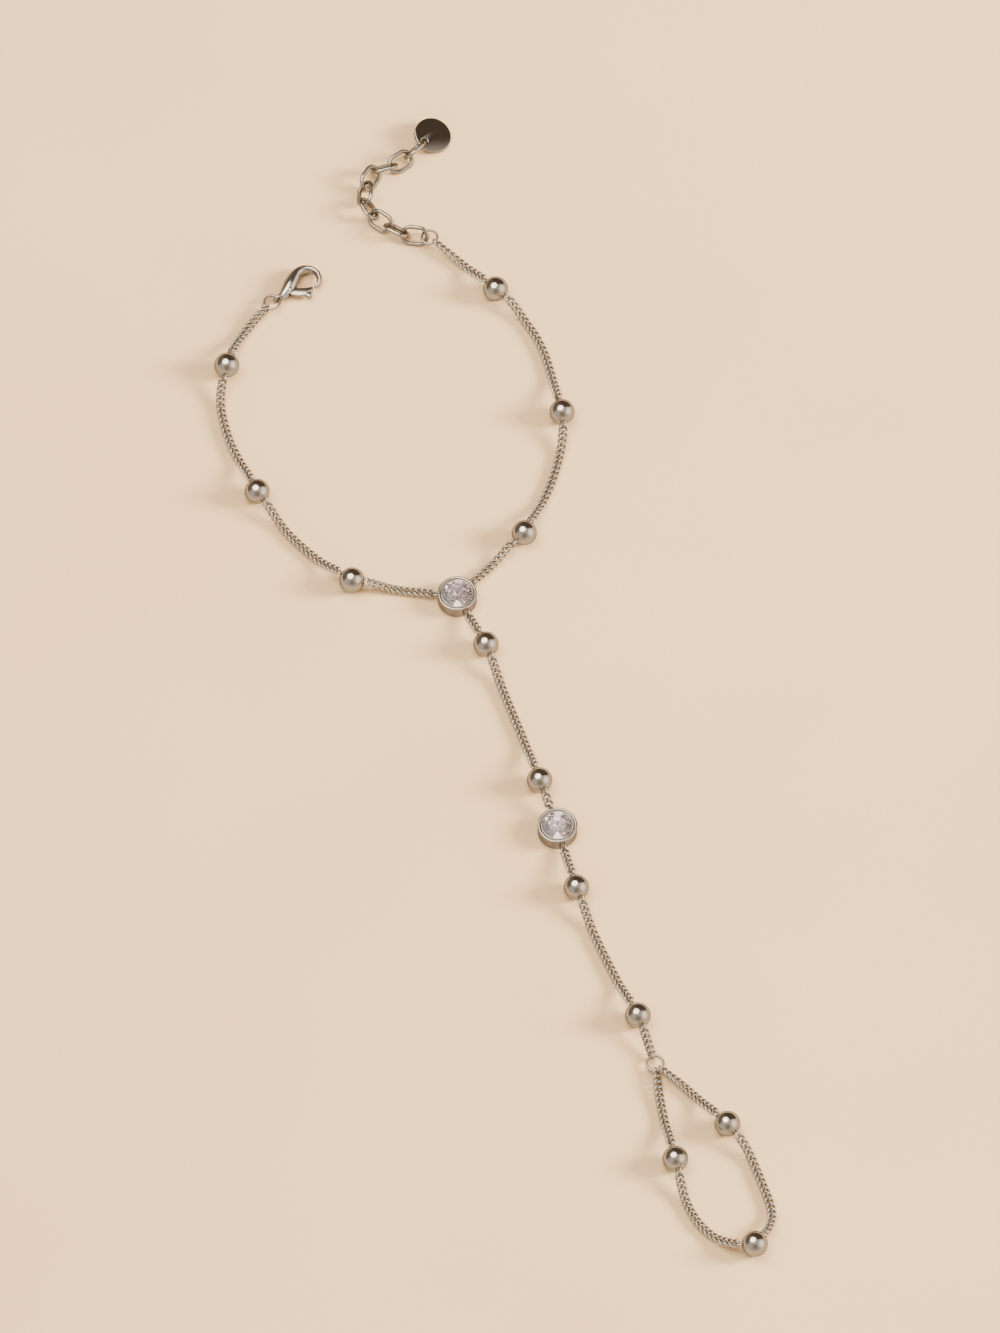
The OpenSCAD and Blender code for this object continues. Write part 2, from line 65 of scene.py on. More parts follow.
def facing(place, back):
    # where a camera or lamp stands, with its back turned this way
    return Matrix.Translation(place) @ back.to_track_quat("Z", "Y").to_matrix().to_4x4()


def placeCamera(look):
    tilt = math.radians(look["elevation"])
    back = Vector((0, -math.cos(tilt), math.sin(tilt)))
    data = bpy.data.cameras.new("camera")
    data.lens = look["lens"]
    data.sensor_width = look["sensor"]
    data.clip_start = look["nearest"] * mm
    data.clip_end = look["furthest"] * mm
    camera = linked("camera", data)
    camera.matrix_world = facing(Vector(look["target"]) * mm + back * look["distance"] * mm, back)
    bpy.context.scene.camera = camera


placeCamera(view)


# Shader helpers
class Flow:
    # a shader socket that can be written in sums
    def __init__(self, finish, socket):
        self.finish = finish
        self.socket = socket

    def sum(self, operation, first, second):
        return self.finish.node("ShaderNodeMath", {"operation": operation}, {0: first, 1: second})

    def __add__(self, other):
        return self.sum("ADD", self, other)

    def __mul__(self, other):
        return self.sum("MULTIPLY", self, other)

    def __sub__(self, other):
        return self.sum("SUBTRACT", self, other)

    def __rsub__(self, other):
        return self.sum("SUBTRACT", other, self)

    __radd__ = __add__
    __rmul__ = __mul__


class Finish:
    # a material's nodes, or those of the tree that is handed over
    def __init__(self, name, tree=None):
        if tree is None:
            self.material = bpy.data.materials.new(name)
            self.material.use_nodes = True
            tree = self.material.node_tree
        self.tree = tree
        self.shader = tree.nodes.get("Principled BSDF")

    # any node: its type, its settings, then the values or links of its sockets
    def node(self, kind, settings=None, sockets=None, out=0):
        made = self.tree.nodes.new(kind)
        for key, value in (settings or {}).items():
            if key == "stops":
                self.setStops(made.color_ramp, value)
            else:
                setattr(made, key, value)
        for key, value in (sockets or {}).items():
            self.join(made.inputs[key], value)
        return Flow(self, made.outputs[out])

    def setStops(self, ramp, stops):
        while len(ramp.elements) < len(stops):
            ramp.elements.new(0.5)
        for element, (place, grey) in zip(ramp.elements, stops):
            element.position = place
            element.color = (grey, grey, grey, 1)

    def join(self, socket, value):
        if isinstance(value, Flow):
            self.tree.links.new(value.socket, socket)
        else:
            socket.default_value = value

    def feed(self, **values):
        for key, value in values.items():
            self.join(self.shader.inputs[key.replace("_", " ")], value)

    def place(self):
        return self.node("ShaderNodeTexCoord", out="Object")

    def stretched(self, along, across):
        return self.node("ShaderNodeMapping", {},
                         {"Vector": self.place(), "Scale": (along, across, across)})

    def noise(self, size, detail, at=None):
        # size is that of one blotch
        return self.node("ShaderNodeTexNoise", {}, {
            "Vector": at or self.place(), "Scale": 1 / (size * mm), "Detail": detail, "Roughness": 0.5})

    def ramp(self, value, stops):
        return self.node("ShaderNodeValToRGB", {"stops": stops}, {0: value})

    def mix(self, share, first, second):
        # colours go in at sockets 6 and 7 and come out at 2
        first, second = [(*side, 1) if isinstance(side, tuple) else side for side in (first, second)]
        return self.node("ShaderNodeMix", {"data_type": "RGBA"}, {0: share, 6: first, 7: second}, out=2)

    def attribute(self, name):
        return self.node("ShaderNodeAttribute", {"attribute_name": name}, out="Fac")

    def bump(self, height, depth):
        # depth is in micrometres
        return self.node("ShaderNodeBump", {},
                         {"Height": height, "Distance": depth * 1e-6, "Strength": 1.0})


# Polished metal with handling marks, hairlines and tarnish that stays in the hollows
metalFinish = {
    "colour": (0.52, 0.47, 0.41), "tarnishColour": (0.20, 0.155, 0.11),
    "smearSize": 2.2, "speckSize": 0.12, "hairSize": 0.4, "hairStretch": 14,
    "hollowTarnish": 0.8, "smearTarnish": 0.35, "tarnishRamp": [(0.30, 0.0), (0.95, 0.75)],
    "roughness": 0.07, "smearRoughness": 0.06, "tarnishRoughness": 0.25,
    "hairDepth": 0.6, "speckDepth": 0.4, "depth": 1.2, "edgeColour": (0.62, 0.60, 0.57, 1),
}


def polishedMetal(name, look):
    finish = Finish(name)
    smears = finish.noise(look["smearSize"], detail=4)
    specks = finish.noise(look["speckSize"], detail=2)
    hairlines = finish.noise(look["hairSize"], detail=2, at=finish.stretched(1, look["hairStretch"]))
    dirt = finish.attribute("hollow") * look["hollowTarnish"] + smears * look["smearTarnish"]
    tarnish = finish.ramp(dirt, look["tarnishRamp"])
    rough = smears * look["smearRoughness"] + tarnish * look["tarnishRoughness"] + look["roughness"]
    relief = hairlines * (1 - tarnish) * look["hairDepth"] + specks * look["speckDepth"]
    finish.feed(Base_Color=finish.mix(tarnish, look["colour"], look["tarnishColour"]),
                Roughness=rough, Normal=finish.bump(relief, look["depth"]))
    finish.feed(Metallic=1.0, Specular_Tint=look["edgeColour"])
    return finish.material


# Mesh helpers
def addPiece(name, points, faces, hollow, material, slot, nodes, body="bracelet", sharp=None):
    # hollow is 1 where tarnish gathers, one value a point
    mesh = bpy.data.meshes.new(name)
    mesh.from_pydata([tuple(p) for p in points], [], faces)
    mesh.validate()
    layer = mesh.attributes.new("hollow", "FLOAT", "POINT")
    layer.data.foreach_set("value", np.asarray(hollow, np.float32))
    mesh.materials.append(material)
    settle(linked(name, mesh), nodes, body, sharp)


def settle(piece, nodes, body="bracelet", sharp=None):
    mesh = piece.data
    mesh.polygons.foreach_set("use_smooth", [True] * len(mesh.polygons))
    if sharp is not None:
        mesh.set_sharp_from_angle(angle=math.radians(sharp))
    mesh.update()
    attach(piece, body)
    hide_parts(*nodes)


def middleOf(node):
    low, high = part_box(node)
    return np.array(low + high) / 2


# points nearer than this are one, in the part's solids and in a new plate
solidWeld = 0.002 * mm
plateWeld = 0.001 * mm


def solidParts(node):
    # the node's separate solids: points, triangle centres and triangle areas of each
    bm = bmesh.new()
    bm.from_mesh(frame["nodes"][node].data)
    bmesh.ops.remove_doubles(bm, verts=bm.verts[:], dist=solidWeld)
    bm.verts.ensure_lookup_table()
    group = [-1] * len(bm.verts)
    count = 0
    for first in bm.verts:
        if group[first.index] >= 0:
            continue
        group[first.index] = count
        waiting = [first]
        while waiting:
            for edge in waiting.pop().link_edges:
                for point in edge.verts:
                    if group[point.index] < 0:
                        group[point.index] = count
                        waiting.append(point)
        count += 1
    parts = [([], [], []) for _ in range(count)]
    for point in bm.verts:
        parts[group[point.index]][0].append(point.co[:])
    for face in bm.faces:
        part = parts[group[face.verts[0].index]]
        part[1].append(face.calc_center_median()[:])
        part[2].append(face.calc_area())
    bm.free()
    return [tuple(np.array(column) for column in part) for part in parts]


def axesOf(centres, areas):
    # middle of a solid's skin and its long, cross and thin directions
    middle = np.average(centres, axis=0, weights=areas)
    spread = (centres - middle).T @ ((centres - middle) * areas[:, None])
    directions = np.linalg.eigh(spread)[1]
    along, thin = directions[:, 2], directions[:, 0]
    return middle, np.column_stack([along, np.cross(thin, along), thin])


def gridFaces(rings, around, strips):
    # four-sided faces between neighbouring rings of points, the last ring joined to the first
    return [(i * around + j, (i + 1) % rings * around + j,
             (i + 1) % rings * around + (j + 1) % around, i * around + (j + 1) % around)
            for i in range(rings) for j in range(strips)]


def tube(path, radius, around, up=(0, 0, 1)):
    # round wire along a closed loop, where up is the loop's own face at each point
    path = np.asarray(path, float)
    ahead = np.roll(path, -1, 0) - np.roll(path, 1, 0)
    ahead /= np.linalg.norm(ahead, axis=1)[:, None]
    outward = np.cross(ahead, np.broadcast_to(up, path.shape))
    outward /= np.linalg.norm(outward, axis=1)[:, None]
    upward = np.cross(outward, ahead)
    turn = np.linspace(0, 2 * np.pi, around, endpoint=False)
    points = path[:, None] + radius * (np.cos(turn)[None, :, None] * outward[:, None]
                                       + np.sin(turn)[None, :, None] * upward[:, None])
    hollow = np.tile(0.5 - 0.5 * np.cos(turn), len(path))
    return points.reshape(-1, 3), gridFaces(len(path), around, around), hollow


def circle(radius, steps, at=(0, 0), way=1):
    return [(at[0] + radius * math.cos(way * t), at[1] + radius * math.sin(way * t))
            for t in np.linspace(0, 2 * math.pi, steps, endpoint=False)]


def ringPath(radius, steps):
    return [(x, y, 0) for x, y in circle(radius, steps)]


def ovalPath(sizes):
    bend = (sizes["width"] - sizes["wire"]) / 2
    half = (sizes["length"] - sizes["width"]) / 2
    turns = np.linspace(-np.pi / 2, np.pi / 2, sizes["bendSteps"] + 1)
    right = [(half + bend * math.cos(t), bend * math.sin(t), 0) for t in turns]
    top = [(half - 2 * half * k / sizes["sideSteps"], bend, 0) for k in range(1, sizes["sideSteps"])]
    left = [(-x, -y, 0) for x, y, _ in right]
    bottom = [(-x, -y, 0) for x, y, _ in top]
    return right + top + left + bottom


def arc(middle, radius, start, end, steps):
    turns = [math.radians(start + (end - start) * k / steps) for k in range(steps + 1)]
    return [(middle[0] + radius * math.cos(t), middle[1] + radius * math.sin(t)) for t in turns]


def lathe(profile, steps, closed=True):
    # profile rows are distance from the axis and height; a closed profile makes a ring
    profile = np.asarray(profile, float)
    turn = np.linspace(0, 2 * np.pi, steps, endpoint=False)[:, None]
    away, height = profile.T[:, None]
    points = np.stack([away * np.cos(turn), away * np.sin(turn), height + 0 * turn], -1)
    rows = len(profile)
    return points.reshape(-1, 3), gridFaces(steps, rows, rows if closed else rows - 1)


def mirroredDown(profile):
    # a profile from its middle height up, with the same below it
    return [(away, -height) for away, height in profile[::-1]] + profile


def stamp(template, places):
    # copies of a small mesh at many places, as one mesh
    points, faces, hollow = template
    allPoints, allFaces = [], []
    for index, (middle, axes) in enumerate(places):
        allPoints.append(points @ np.asarray(axes).T + middle)
        allFaces += [tuple(corner + index * len(points) for corner in face) for face in faces]
    return np.vstack(allPoints), allFaces, np.tile(hollow, len(places))


def joined(*parts):
    points, faces, hollow = [], [], []
    start = 0
    for part in parts:
        points.append(part[0])
        faces += [tuple(corner + start for corner in face) for face in part[1]]
        hollow.append(part[2] if len(part) > 2 else np.zeros(len(part[0])))
        start += len(part[0])
    return np.vstack(points), faces, np.concatenate(hollow)


# Fine curb chain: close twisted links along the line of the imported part's own links
chain = {
    "nodes": ["chain_clasp_side", "chain_extender_side", "chain_hand_upper", "chain_hand_lower",
              "chain_finger_loop"],
    "link": {"length": 1.75, "width": 1.48, "wire": 0.40, "twist": 102,
             "bendSteps": 14, "sideSteps": 5, "around": 12},
    "pitch": 0.95, "runGap": 2.5,  # a wider gap between the part's links holds a bead or a setting
    "ringReach": 2.6, "ringTurn": 45, "ringLinks": 6,  # links that turn upright towards a jump ring
    "finish": dict(metalFinish, colour=(0.70, 0.62, 0.525), roughness=0.36,
                   tarnishRamp=[(0.25, 0.0), (1.0, 0.8)], smearSize=1.1),
}
# Wire eyes at the beads and settings, and the solder round their feet
eye = {
    "length": 2.2, "width": 1.46, "wire": 0.36, "roll": 45, "bendSteps": 14, "sideSteps": 3, "around": 14,
    "solderHeight": 0.09, "solderSink": 0.6, "solderReach": 0.10, "solderCurve": 2.2,
    "solderSteps": 6, "solderAround": 20, "solderHollow": 0.8,
}
jumpRings = {
    "nodes": ["clasp_ring", "extender_ring", "finger_ring"], "wire": 0.4, "around": 16, "steps": 72,
    "finish": dict(metalFinish, colour=(0.50, 0.445, 0.38), roughness=0.17),
}


def loopTemplate(sizes):
    path = np.array(ovalPath(sizes)) * mm
    turn = math.radians(sizes.get("twist", 0)) * path[:, 0] / np.ptp(path[:, 0])
    turned = np.column_stack([path[:, 0], path[:, 1] * np.cos(turn), path[:, 1] * np.sin(turn)])
    face = np.column_stack([np.zeros(len(turn)), -np.sin(turn), np.cos(turn)])
    return tube(turned, sizes["wire"] / 2 * mm, sizes["around"], face)


def level(along, roll):
    # axes of a link or eye that points along, rolled from lying flat
    side = np.cross((0, 0, 1), along)
    side /= np.linalg.norm(side)
    turn = math.radians(roll)
    wide = side * math.cos(turn) + np.cross(along, side) * math.sin(turn)
    return np.column_stack([along, wide, np.cross(along, wide)])


def chainRuns(node, gap):
    # middles of the node's links in order, cut where a bead or a setting lies between them
    runs = [[]]
    for _, centres, areas in solidParts(node):
        middle = axesOf(centres, areas)[0]
        if runs[-1] and np.linalg.norm(middle - runs[-1][-1]) > gap:
            runs.append([])
        runs[-1].append(middle)
    return [np.array(run) for run in runs]


def runPlaces(middles, rings, look):
    # new links fill the run from eye to eye, lie flat, and turn upright where it ends in a ring
    path = np.vstack([2 * middles[0] - middles[1], middles, 2 * middles[-1] - middles[-2]])
    reach = np.concatenate([[0], np.cumsum(np.linalg.norm(np.diff(path, axis=0), axis=1))])
    atRing = [min(np.linalg.norm(end - ring) for ring in rings) < look["ringReach"] * mm
              for end in (middles[0], middles[-1])]
    hook = (eye["length"] / 2 - eye["wire"]) * mm
    count = round((reach[-1] - 2 * hook) / mm / look["pitch"])
    pitch = (reach[-1] - 2 * hook) / count
    stretch = (pitch / mm + 2 * look["link"]["wire"]) / look["link"]["length"]

    def at(distance):
        return np.array([np.interp(distance, reach, path[:, axis]) for axis in range(3)])

    places = []
    for index in range(count):
        distance = hook + pitch * (index + 0.5)
        along = at(distance + pitch) - at(distance - pitch)
        along /= np.linalg.norm(along)
        roll = 0
        for ring, steps, way in ((atRing[0], index, -1), (atRing[1], count - 1 - index, 1)):
            if ring:
                roll += way * look["ringTurn"] * max(0, 1 - steps / look["ringLinks"])
        places.append((at(distance), level(along, roll) * (stretch, 1, 1)))
    return places


def buildChain(node, material, template, rings, look):
    places = [place for run in chainRuns(node, look["runGap"] * mm)
              for place in runPlaces(run, rings, look)]
    addPiece("fine_" + node, *stamp(template, places), material, "chain_metal", [node])
    return len(places)


chainMetal = polishedMetal("chain_metal", chain["finish"])
curbTemplate = loopTemplate(chain["link"])
ringMiddles = [middleOf(node) for node in jumpRings["nodes"]]
linkCount = 0
for node in chain["nodes"]:
    linkCount += buildChain(node, chainMetal, curbTemplate, ringMiddles, chain)
print("fine chain:", linkCount, "links")


# Polished beads, each with two soldered eyes
bead = {
    "radius": 2.0, "around": 96, "rows": 48, "eyesFrom": 0.2,
    "finish": dict(metalFinish, roughness=0.08, smearRoughness=0.05, hollowTarnish=0.6,
                   tarnishRamp=[(0.42, 0.0), (1.0, 0.6)], hairDepth=0.3, speckDepth=0.2),
}
eyeTemplate = loopTemplate(eye)


def sphereCentre(points, radius):
    # starts under the crown, and narrows until the points of the eyes have dropped out
    crownFrom = 1.8  # height in radii
    narrowing = (0.1, 0.05, 0.03, 0.02, 0.01)  # how far off the sphere a point may lie, in radii
    crown = points[points[:, 2] > crownFrom * radius]
    middle = crown.mean(0) * (1, 1, 0) + (0, 0, radius)
    for share in narrowing:
        away = np.linalg.norm(points - middle, axis=1)
        near = points[np.abs(away - radius) < share * radius]
        table = np.column_stack([2 * near, np.ones(len(near))])
        middle = np.linalg.lstsq(table, (near ** 2).sum(1), rcond=None)[0][:3]
    return middle


def eyesOf(points, middle, reach):
    # the loops that stand out past the reach, each set across the end of its curb link
    outside = points[np.linalg.norm(points - middle, axis=1) > reach]
    sameLoop = 0.5  # cosine of the widest angle between a loop's points, seen from the middle
    eyes = []
    while len(outside):
        away = outside - middle
        lengths = np.linalg.norm(away, axis=1)
        same = away @ away[0] > sameLoop * lengths * lengths[0]
        direction = outside[same].mean(0) - middle
        direction /= np.linalg.norm(direction)
        eyes.append((direction, level(direction, eye["roll"])))
        outside = outside[~same]
    return eyes


def solder():
    # rises from a curved surface up a wire, along +X
    rows = []
    for k in range(eye["solderSteps"] + 1):
        share = k / eye["solderSteps"]
        rows.append((eye["wire"] / 2 + eye["solderReach"] * (1 - share) ** eye["solderCurve"],
                     eye["solderHeight"] * (share * (1 + eye["solderSink"]) - eye["solderSink"])))
    points, faces = lathe(rows, eye["solderAround"], closed=False)
    return points[:, [2, 0, 1]] * mm, faces, np.full(len(points), eye["solderHollow"])


def eyeParts(middle, radius, eyes):
    # the loops, and solder where their two wires leave the round wall
    parts = []
    side = (eye["width"] - eye["wire"]) / 2
    wall = math.sqrt(radius ** 2 - side ** 2)
    loop, loopFaces, loopHollow = eyeTemplate
    foot, footFaces, footHollow = solder()
    for direction, axes in eyes:
        parts.append((loop @ axes.T + middle + direction * radius * mm, loopFaces, loopHollow))
        for way in (-1, 1):
            place = (wall * mm, way * side * mm, 0)
            parts.append(((foot + place) @ axes.T + middle, footFaces, footHollow))
    return parts


def buildBead(node, material, sizes):
    points = solidParts(node)[0][0]
    radius = sizes["radius"]
    middle = sphereCentre(points, radius * mm)
    eyes = eyesOf(points, middle, (radius + sizes["eyesFrom"]) * mm)
    profile = [(radius * math.sin(t), -radius * math.cos(t))
               for t in np.linspace(0, math.pi, sizes["rows"] + 1)]
    ball, ballFaces = lathe(profile, sizes["around"], closed=False)
    piece = joined((ball * mm + middle, ballFaces), *eyeParts(middle, radius, eyes))
    addPiece("polished_" + node, *piece, material, "bead_metal", [node])


beadMetal = polishedMetal("bead_metal", bead["finish"])
beadNodes = sorted(name for name in frame["nodes"] if name.startswith("bead_"))
for node in beadNodes:
    buildBead(node, beadMetal, bead)
print("beads:", len(beadNodes))


# Brilliant-cut stones; the foil on the back facets gives them their light, and painted shade darkens its
# far facets
stone = {
    "radius": 2.48, "table": 0.58, "crown": 0.62, "girdle": 0.12, "pavilion": 1.5, "facets": 8,
    "blankSteps": 64, "mainIn": 0.985, "halfIn": 0.992,  # where the cuts start, as shares of the radius
    "starRise": 0.20, "upperRise": -0.12, "lowerRise": 0.045,  # radians away from the main facets
    "backBelow": -0.1, "sharp": 1,  # facets whose normal has less height than this carry the foil
    "colour": (1.0, 0.975, 0.98), "tint": (0.97, 0.93, 0.95), "cloudSize": 1.5, "wipe": 0.02,
    "roughness": 0.0, "ior": 1.55,
    "foil": (0.99, 0.91, 0.90), "foilTint": (0.94, 0.84, 0.85), "foilCloud": 0.7, "foilWipe": 0.05,
    "foilRoughness": 0.04, "foilMetal": 0.78,
    # the foil's painted shade: its dark colour, the side it lies towards, how deep it is there, how many
    # steps round, and how much it flickers
    "foilPaintedShade": (0.30, 0.245, 0.255), "shadeTowards": 70, "shadeFar": 0.16, "shadeSteps": 4,
    "shadeFlicker": 0.12,
}
# Round settings: turned cup with a rolled rim, a fine inner bezel and a slightly drawn-in wall
cup = {
    "radius": 3.1, "height": 2.3, "rim": 0.5, "floor": 0.25, "eyeHeight": 1.0, "foot": 0.14,
    "lip": 0.3, "lipRise": 0.01, "lipOver": 0.03, "bezel": 0.14, "gap": 0.05,
    "wall": [(0.03, 0.7), (0.05, 1.2), (0.03, 1.7)],  # how far in, and at what height
    "footArc": (-60, 0, 4), "rimArc": (0, 165, 14), "bezelArc": (10, 180, 10),  # from, to and steps
    "well": 0.4, "axis": 0.02, "around": 128, "sharp": 35, "eyesFrom": 0.15,
    "footTarnish": 0.126, "grooveWidth": 0.06,  # how far up, and how far from the middle of the groove
    "deepHollow": 0.9, "plainHollow": 0.15,
    "finish": dict(metalFinish, colour=(0.48, 0.43, 0.375), roughness=0.16),
}
settings = {"setting_wrist": "stone_wrist", "setting_hand": "stone_hand"}
girdleHeight = cup["floor"] + cup["gap"] + stone["pavilion"]


def cupProfile():
    # outer wall from the floor up, over the rim, and down the seat under the stone
    radius, foot, gap = cup["radius"], cup["foot"], cup["gap"]
    girdleTop = girdleHeight + stone["girdle"]
    seat = stone["radius"] + gap
    slope = stone["crown"] / (stone["radius"] * (1 - stone["table"]))
    lipRadius = radius - cup["rim"] - cup["lip"]
    lipHeight = girdleTop + (stone["radius"] - lipRadius) * slope + gap
    rim = cup["rim"] / 2
    rows = [(cup["axis"], 0), (radius - foot, 0)]
    rows += arc((radius - foot, foot), foot, *cup["footArc"])
    rows += [(radius - inward, height) for inward, height in cup["wall"]]
    rows += arc((radius - rim, cup["height"] - rim), rim, *cup["rimArc"])
    rows += arc((lipRadius + cup["bezel"], lipHeight + cup["lipRise"]), cup["bezel"], *cup["bezelArc"])
    rows += [(lipRadius + cup["lipOver"], lipHeight), (seat, girdleTop + gap), (seat, girdleHeight - gap)]
    return rows + [(cup["well"], cup["floor"]), (cup["axis"], cup["floor"])]


def cupHollow(away, height):
    # tarnish gathers under the foot and in the groove between rim and bezel
    underFoot = height < cup["footTarnish"]
    inGroove = abs(away - (cup["radius"] - cup["rim"])) < cup["grooveWidth"]
    return cup["deepHollow"] if underFoot or inGroove else cup["plainHollow"]


def buildSetting(node, stoneNode, material):
    # the wires of the eyes end in the wall and don't reach the stone
    middle = middleOf(stoneNode) * (1, 1, 0)
    eyeMiddle = middle + (0, 0, cup["eyeHeight"] * mm)
    points = solidParts(node)[0][0]
    away = np.linalg.norm((points - middle)[:, :2], axis=1)
    eyes = eyesOf(points[away > (cup["radius"] + cup["eyesFrom"]) * mm], eyeMiddle, 0)
    profile = cupProfile()
    wall, wallFaces = lathe(profile, cup["around"])
    hollow = np.tile([cupHollow(*row) for row in profile], cup["around"])
    piece = joined((wall * mm + middle, wallFaces, hollow), *eyeParts(eyeMiddle, cup["radius"], eyes))
    addPiece("turned_" + node, *piece, material, "setting_metal", [node], sharp=cup["sharp"])


settingMetal = polishedMetal("setting_metal", cup["finish"])
for node, stoneNode in settings.items():
    buildSetting(node, stoneNode, settingMetal)
print("settings:", len(settings))


def cutPlane(bm, angle, rise, distance, height):
    # keeps what lies inside a plane that passes through (distance, height) and tips by rise
    onPlane = 1e-7  # metres
    turn = math.radians(angle)
    normal = Vector((math.cos(turn) * math.cos(rise), math.sin(turn) * math.cos(rise), math.sin(rise)))
    point = Vector((math.cos(turn) * distance, math.sin(turn) * distance, height)) * mm
    bmesh.ops.bisect_plane(bm, geom=bm.verts[:] + bm.edges[:] + bm.faces[:], dist=onPlane,
                           plane_co=point, plane_no=normal, clear_outer=True)
    rim = [edge for edge in bm.edges if edge.is_boundary]
    if rim:
        bmesh.ops.contextual_create(bm, geom=rim)


def cutStone(look):
    bm = bmesh.new()
    radius, facets, girdle = look["radius"], look["facets"], look["girdle"] / 2
    bmesh.ops.create_cone(bm, cap_ends=True, segments=look["blankSteps"], radius1=radius * mm,
                          radius2=radius * mm, depth=2 * look["pavilion"] * mm)
    step = 360 / facets
    crownTop = girdle + look["crown"]
    tableEdge = radius * look["table"] * math.cos(math.radians(step / 2))
    mainRise = math.atan2(radius - tableEdge, look["crown"])
    deepRise = math.atan2(radius, look["pavilion"])
    mainAt, halfAt = radius * look["mainIn"], radius * look["halfIn"]
    cutPlane(bm, 0, math.pi / 2, 0, crownTop)
    for k in range(facets):
        cutPlane(bm, step * k, mainRise, mainAt, girdle)
    for k in range(facets):
        cutPlane(bm, step * (k + 0.5), mainRise + look["starRise"], tableEdge, crownTop)
    for k in range(2 * facets):
        cutPlane(bm, step * (k + 0.5) / 2, mainRise + look["upperRise"], halfAt, girdle)
    for k in range(facets):
        cutPlane(bm, step * k, -deepRise, mainAt, -girdle)
    for k in range(2 * facets):
        cutPlane(bm, step * (k + 0.5) / 2, -deepRise + look["lowerRise"], halfAt, -girdle)
    bmesh.ops.translate(bm, verts=bm.verts[:], vec=(0, 0, (girdleHeight + girdle) * mm))
    return bm


def clearStone(name, look):
    finish = Finish(name)
    cloud = finish.noise(look["cloudSize"], detail=2)
    finish.feed(Base_Color=finish.mix(cloud, look["colour"], look["tint"]),
                Roughness=cloud * look["wipe"] + look["roughness"])
    finish.feed(IOR=look["ior"], Transmission_Weight=1.0)
    return finish.material


def stoneFoil(name, look):
    finish = Finish(name)
    cloud = finish.noise(look["foilCloud"], detail=2)
    foil = finish.mix(cloud, look["foil"], look["foilTint"])
    # each facet's painted shade darkens the foil's colour
    finish.feed(Base_Color=finish.mix(finish.attribute("shade"), foil, look["foilPaintedShade"]),
                Roughness=cloud * look["foilWipe"] + look["foilRoughness"])
    finish.feed(Metallic=look["foilMetal"])
    return finish.material


def paintedFacetShade(normal, look):
    # painted shade on the foil: darker on the far side, and a little on every other facet
    around = math.atan2(normal.y, normal.x)
    far = max(0, math.cos(around - math.radians(look["shadeTowards"])))
    flicker = 0.5 + 0.5 * math.cos(look["shadeSteps"] * around)
    return far * look["shadeFar"] + flicker * look["shadeFlicker"]


def buildStone(node, clear, foil, look):
    bm = cutStone(look)
    bmesh.ops.translate(bm, verts=bm.verts[:], vec=middleOf(node) * (1, 1, 0))
    mesh = bpy.data.meshes.new("cut_" + node)
    bm.to_mesh(mesh)
    bm.free()
    mesh.materials.append(clear)
    mesh.materials.append(foil)
    for facet in mesh.polygons:
        facet.material_index = int(facet.normal.z < look["backBelow"])
    # each facet's painted shade, kept on the mesh
    shades = mesh.attributes.new("shade", "FLOAT", "FACE")
    shades.data.foreach_set("value", [paintedFacetShade(facet.normal, look) for facet in mesh.polygons])
    settle(linked("cut_" + node, mesh), [node], sharp=look["sharp"])
    print("stone:", node, len(mesh.polygons), "facets")


stoneClear = clearStone("stone", stone)
stoneBack = stoneFoil("stone_foil", stone)
for node in settings.values():
    buildStone(node, stoneClear, stoneBack, stone)


# Jump rings, and the larger oval links of the extender
extender = {
    "length": 4.66, "width": 3.36, "wire": 0.66, "bendSteps": 24, "sideSteps": 4, "around": 16,
    "finish": jumpRings["finish"],
}


def buildRing(node, material, sizes):
    low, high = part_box(node)
    wire = sizes["wire"] / 2 * mm
    path = ringPath((high.x - low.x) / 2 - wire, sizes["steps"])
    points, faces, hollow = tube(path, wire, sizes["around"])
    addPiece("wire_" + node, points + middleOf(node), faces, hollow, material, "ring_metal", [node])


def buildExtenderLink(node, material, template):
    _, centres, areas = solidParts(node)[0]
    piece = stamp(template, [axesOf(centres, areas)])
    addPiece("oval_" + node, *piece, material, "extender_metal", [node])


ringMetal = polishedMetal("ring_metal", jumpRings["finish"])
extenderMetal = polishedMetal("extender_metal", extender["finish"])
for node in jumpRings["nodes"]:
    buildRing(node, ringMetal, jumpRings)
extenderTemplate = loopTemplate(extender)
extenderNodes = sorted(name for name in frame["nodes"] if name.startswith("extender_link_"))
for node in extenderNodes:
    buildExtenderLink(node, extenderMetal, extenderTemplate)
print("rings and extender links:", len(jumpRings["nodes"]), "and", len(extenderNodes))


# Round tag, bare on both sides
tag = {
    "diameter": 6.0, "thickness": 0.6, "hole": 1.2, "holeReach": 2.05, "edge": 0.12, "steps": 96,
    "sharp": 30,
    "finish": dict(metalFinish, colour=(0.42, 0.38, 0.34), roughness=0.06, hairDepth=0.8),
}


def flatPlate(outlines, thickness, edge):
    # points and faces of a plate from closed outlines, rounded at its edges, holes included
    curve = bpy.data.curves.new("plate", "CURVE")
    curve.dimensions = "2D"
    curve.fill_mode = "BOTH"
    curve.extrude = (thickness / 2 - edge) * mm
    curve.bevel_depth = edge * mm
    curve.bevel_resolution = 3
    curve.offset = -edge * mm
    for outline in outlines:
        spline = curve.splines.new("POLY")
        spline.points.add(len(outline) - 1)
        for point, (x, y) in zip(spline.points, outline):
            point.co = (x * mm, y * mm, 0, 1)
        spline.use_cyclic_u = True
    source = linked("plate", curve)
    bpy.context.view_layer.update()
    mesh = bpy.data.meshes.new_from_object(source)
    bpy.data.objects.remove(source)
    bm = bmesh.new()
    bm.from_mesh(mesh)
    bmesh.ops.remove_doubles(bm, verts=bm.verts[:], dist=plateWeld)
    bm.to_mesh(mesh)
    bm.free()
    return pointsAndFaces(mesh)


def pointsAndFaces(mesh):
    return np.array([v.co[:] for v in mesh.vertices]), [tuple(p.vertices) for p in mesh.polygons]


def moved(points, place):
    return np.array([(place @ Vector(p))[:] for p in points])


